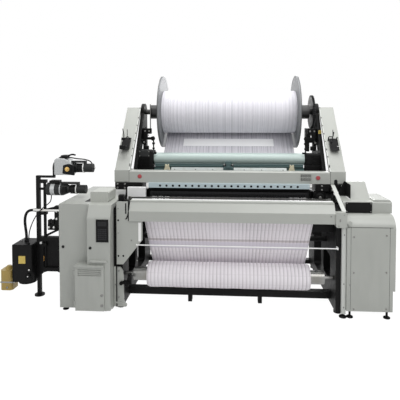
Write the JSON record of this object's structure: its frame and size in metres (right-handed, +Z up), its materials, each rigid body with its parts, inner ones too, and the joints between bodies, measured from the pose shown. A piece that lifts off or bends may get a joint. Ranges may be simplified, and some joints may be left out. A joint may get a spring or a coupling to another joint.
{
  "type": "power loom",
  "caption": "Wide terry power loom with its pile warp beam held high over the healds, cloth roll at the front, drive cabinets and a yarn feeder stand.",
  "frame": {"origin": "on the floor under the middle of the whole machine, feeder stand included", "axes": "+X to the weaver's right along the cloth's width, +Y from the cloth roll back to the warp beams, +Z up"},
  "size_m": [4.505, 2.0299, 2.7048],
  "materials": {
    "machine_black": "black machine enamel",
    "grey_paint": "satin light grey enamel",
    "white_paint": "white enamel",
    "pale_blue": "pale blue enamel",
    "roller_green": "smooth grey-green covering",
    "dark_grey": "dark grey enamel",
    "steel": "machined steel",
    "bright_metal": "turned light alloy",
    "aluminium": "extruded light alloy",
    "roller_rubber": "grip rubber",
    "hose_rubber": "black rubber",
    "dark_plastic": "matt black plastic",
    "ochre_plastic": "translucent ochre plastic",
    "yarn": "white wound yarn with fine grey stripes",
    "cloth": "pale woven check"
  },
  "bodies": {
    "frame": {"beam_stands": "machine_black", "breast_beam": "machine_black", "breast_bracket": "grey_paint", "breast_cover": "grey_paint", "cloth_sheet": "cloth", "control_plate": "dark_plastic", "corner_blocks": "grey_paint", "cross_beams": "machine_black", "cross_cover": "grey_paint", "feed_pipe": "steel", "feeder_stand": "machine_black", "ground_warp_sheet": "yarn", "guard_rod": "white_paint", "heald_guides": "machine_black", "inner_shield": "grey_paint", "junction_boxes": "white_paint", "left_cabinet": "grey_paint", "left_side_frame": "machine_black", "left_upright_cover": "grey_paint", "letoff_gearbox": "machine_black", "levelling_feet": "steel", "lower_feeder": "aluminium", "oil_tank": "ochre_plastic", "operator_terminal": "grey_paint", "perforated_rail": "pale_blue", "pile_warp_sheet": "yarn", "rapier_housing": "grey_paint", "right_cabinet": "grey_paint", "right_side_frame": "machine_black", "right_upright_cover": "grey_paint", "roller_housings": "dark_grey", "roller_tray": "roller_green", "side_casting": "machine_black", "signal_cable": "hose_rubber", "suction_hose": "hose_rubber", "switch_boxes": "dark_plastic", "temple_bar": "aluminium", "upper_feeder": "aluminium", "valve_box": "machine_black"},
    "pile_beam_body": {"pile_beam": "bright_metal", "pile_warp": "yarn", "pile_beam_gear": "steel"},
    "letoff_pinion_body": {"letoff_pinion": "steel"},
    "ground_beam_body": {"ground_beam": "bright_metal", "ground_warp": "yarn"},
    "guide_roller_body": {"guide_roller": "roller_green"},
    "backrest_roller_body": {"backrest_roller": "steel"},
    "takeup_roller_body": {"takeup_roller": "roller_rubber"},
    "cloth_roller_body": {"cloth_roller": "steel", "cloth_roll": "cloth"},
    "sley_body": {"sley": "machine_black", "reed": "steel"},
    "heald_body_1": {"heald_frame_1": "aluminium"},
    "heald_body_2": {"heald_frame_2": "aluminium"},
    "heald_body_3": {"heald_frame_3": "aluminium"},
    "left_rapier_body": {"left_rapier": "steel"},
    "right_rapier_body": {"right_rapier": "steel"},
    "cabinet_door_body": {"cabinet_door": "grey_paint"},
    "upper_drum_body": {"upper_feeder_drum": "dark_plastic"},
    "lower_drum_body": {"lower_feeder_drum": "dark_plastic"}
  },
  "joints": [
    {"name": "pile_beam_turn", "type": "hinge", "parent": "frame", "child": "pile_beam_body", "pos_m": [0.4675, 0.465, 2.215], "axis": [1, 0, 0], "continuous": true},
    {"name": "letoff_pinion_turn", "type": "hinge", "parent": "frame", "child": "letoff_pinion_body", "pos_m": [1.5905, 0.465, 1.947], "axis": [1, 0, 0], "continuous": true},
    {"name": "ground_beam_turn", "type": "hinge", "parent": "frame", "child": "ground_beam_body", "pos_m": [0.4675, 0.615, 0.52], "axis": [1, 0, 0], "continuous": true},
    {"name": "guide_roller_turn", "type": "hinge", "parent": "frame", "child": "guide_roller_body", "pos_m": [0.4675, 0.095, 1.605], "axis": [1, 0, 0], "continuous": true},
    {"name": "backrest_roller_turn", "type": "hinge", "parent": "frame", "child": "backrest_roller_body", "pos_m": [0.4675, 0.565, 1.235], "axis": [1, 0, 0], "continuous": true},
    {"name": "takeup_roller_turn", "type": "hinge", "parent": "frame", "child": "takeup_roller_body", "pos_m": [0.4675, -0.755, 1.08], "axis": [1, 0, 0], "continuous": true},
    {"name": "cloth_roller_turn", "type": "hinge", "parent": "frame", "child": "cloth_roller_body", "pos_m": [0.4675, -0.685, 0.37], "axis": [1, 0, 0], "continuous": true},
    {"name": "sley_swing", "type": "hinge", "parent": "frame", "child": "sley_body", "pos_m": [0.4675, -0.325, 0.7], "axis": [1, 0, 0], "range_deg": [0, 11]},
    {"name": "heald_lift_1", "type": "slide", "parent": "frame", "child": "heald_body_1", "axis": [0, 0, 1], "range_m": [-0.04, 0.04]},
    {"name": "heald_lift_2", "type": "slide", "parent": "frame", "child": "heald_body_2", "axis": [0, 0, 1], "range_m": [-0.04, 0.04]},
    {"name": "heald_lift_3", "type": "slide", "parent": "frame", "child": "heald_body_3", "axis": [0, 0, 1], "range_m": [-0.04, 0.04]},
    {"name": "left_rapier_reach", "type": "slide", "parent": "frame", "child": "left_rapier_body", "axis": [1, 0, 0], "range_m": [0, 0.9]},
    {"name": "right_rapier_reach", "type": "slide", "parent": "frame", "child": "right_rapier_body", "axis": [-1, 0, 0], "range_m": [0, 0.9]},
    {"name": "cabinet_door_swing", "type": "hinge", "parent": "frame", "child": "cabinet_door_body", "pos_m": [-1.1815, -0.988, 0.25], "axis": [0, 0, -1], "range_deg": [0, 100]},
    {"name": "upper_drum_turn", "type": "hinge", "parent": "frame", "child": "upper_drum_body", "pos_m": [-1.2815, -0.485, 1.545], "axis": [1, 0, 0], "continuous": true},
    {"name": "lower_drum_turn", "type": "hinge", "parent": "frame", "child": "lower_drum_body", "pos_m": [-1.3695, -0.485, 1.29], "axis": [1, 0, 0], "continuous": true}
  ],
  "couplings": [
    {"joint": "letoff_pinion_turn", "follows": "pile_beam_turn", "ratio": -4.5833},
    {"joint": "guide_roller_turn", "follows": "pile_beam_turn", "ratio": -3.8158},
    {"joint": "backrest_roller_turn", "follows": "ground_beam_turn", "ratio": 5},
    {"joint": "cloth_roller_turn", "follows": "takeup_roller_turn", "ratio": 0.48951},
    {"joint": "right_rapier_reach", "follows": "left_rapier_reach", "ratio": 1}
  ]
}
